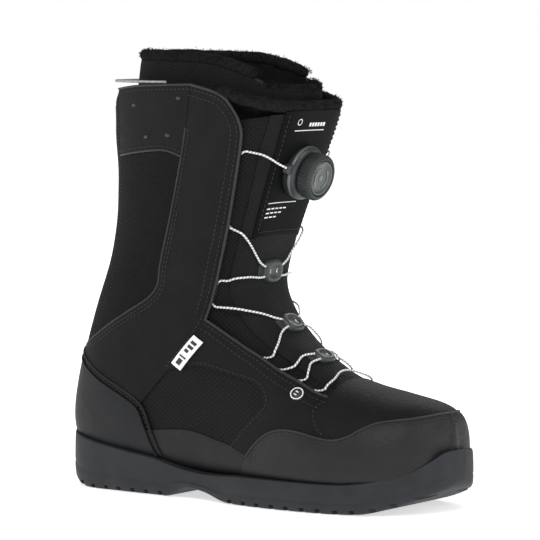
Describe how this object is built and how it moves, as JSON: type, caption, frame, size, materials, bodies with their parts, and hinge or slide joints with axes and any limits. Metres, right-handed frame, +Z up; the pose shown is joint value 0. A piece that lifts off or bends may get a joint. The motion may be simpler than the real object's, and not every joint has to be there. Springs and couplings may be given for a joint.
{
  "type": "snowboard boot",
  "caption": "Padded snowboard boot with a high shaft, moulded heel and toe, lugged sole, soft inner boot, and a tongue dial that winds one thin lace.",
  "frame": {"origin": "on the floor under the centre of the boot's bounding box", "axes": "+X to the toe, +Y to the inner (medial) side, +Z up"},
  "size_m": [0.314, 0.113, 0.3173],
  "materials": {
    "sole_rubber": "satin black rubber",
    "midsole_foam": "foam",
    "board_fibre": "fibre board",
    "smooth_synthetic": "fine-grained black synthetic",
    "rand_synthetic": "smooth black synthetic",
    "heel_moulding": "soft satin moulding",
    "woven_fabric": "woven black fabric",
    "backstay_synthetic": "smooth black synthetic",
    "rivet_metal": "black enamel",
    "badge_print": "black with a pale ring",
    "label_weave": "white woven label",
    "sleeve_plastic": "low-friction plastic",
    "lace_cable": "braided grey and white lace",
    "liner_fabric": "brushed black fabric",
    "fleece": "black fleece",
    "footbed_foam": "foam with a fabric top",
    "guide_plastic": "satin grey-green plastic",
    "dial_plastic": "satin plastic",
    "dial_rubber": "ribbed rubber",
    "dial_face": "satin plastic",
    "screw_steel": "plain steel",
    "loop_cord": "grey cord"
  },
  "bodies": {
    "shell": {"outsole": "sole_rubber", "midsole": "midsole_foam", "lasting_board": "board_fibre", "vamp": "smooth_synthetic", "toe_cap": "rand_synthetic", "heel_cup": "heel_moulding", "quarter_lateral": "smooth_synthetic", "quarter_medial": "smooth_synthetic", "shaft_lateral": "smooth_synthetic", "shaft_medial": "smooth_synthetic", "rear_shaft_panel": "woven_fabric", "collar_overlay_lateral": "smooth_synthetic", "collar_overlay_medial": "smooth_synthetic", "side_mesh_lateral": "woven_fabric", "side_mesh_medial": "woven_fabric", "side_rand_lateral": "rand_synthetic", "side_rand_medial": "rand_synthetic", "rivet_lateral_1": "rivet_metal", "rivet_lateral_2": "rivet_metal", "rivet_lateral_3": "rivet_metal", "rivet_lateral_4": "rivet_metal", "rivet_medial_1": "rivet_metal", "rivet_medial_2": "rivet_metal", "rivet_medial_3": "rivet_metal", "rivet_medial_4": "rivet_metal", "badge": "badge_print", "side_label": "label_weave", "lace_loop_a_lateral": "sleeve_plastic", "lace_loop_a_medial": "sleeve_plastic", "lace_loop_b_lateral": "sleeve_plastic", "lace_loop_b_medial": "sleeve_plastic", "lace_loop_c_lateral": "sleeve_plastic", "lace_loop_c_medial": "sleeve_plastic", "lace_loop_d_lateral": "sleeve_plastic", "lace_loop_d_medial": "sleeve_plastic", "backstay": "backstay_synthetic", "liner_lateral": "liner_fabric", "liner_medial": "liner_fabric", "liner_collar": "fleece", "footbed": "footbed_foam", "lace": "lace_cable", "gusset_lateral": "woven_fabric", "gusset_medial": "woven_fabric"},
    "tongue": {"tongue_shell": "woven_fabric", "tongue_face_panel": "smooth_synthetic", "tongue_rim": "fleece", "lace_guide_1": "guide_plastic", "lace_guide_2": "guide_plastic", "lace_guide_3": "guide_plastic", "dial_base": "dial_plastic", "dial_screw": "screw_steel", "liner_tongue": "liner_fabric"},
    "dial_carrier": {"dial_carrier": "dial_plastic"},
    "dial_knob": {"dial_grip": "dial_rubber", "dial_cap": "dial_face"},
    "spool": {"spool": "dial_plastic"},
    "pull_loop": {"pull_loop": "loop_cord"}
  },
  "joints": [
    {"name": "tongue_fold", "type": "hinge", "parent": "shell", "child": "tongue", "pos_m": [0.074, 0, 0.08], "axis": [0, 1, 0], "range_deg": [0, 20], "deforming": ["gusset_lateral", "gusset_medial", "lace"]},
    {"name": "dial_lift", "type": "slide", "parent": "tongue", "child": "dial_carrier", "axis": [0.9659, 0, -0.2588], "range_m": [0, 0.0035]},
    {"name": "dial_turn", "type": "hinge", "parent": "dial_carrier", "child": "dial_knob", "pos_m": [0.03, 0, 0.2305], "axis": [0.9659, 0, -0.2588], "continuous": true},
    {"name": "spool_turn", "type": "hinge", "parent": "tongue", "child": "spool", "pos_m": [0.03, 0, 0.2305], "axis": [0.9659, 0, -0.2588], "continuous": true},
    {"name": "pull_loop_lift", "type": "hinge", "parent": "shell", "child": "pull_loop", "pos_m": [-0.0532, 0, 0.2925], "axis": [0, 1, 0], "range_deg": [0, 45], "stiffness_Nm_per_rad": 0.01}
  ],
  "couplings": [
    {"joint": "spool_turn", "follows": "dial_turn", "ratio": 1}
  ]
}
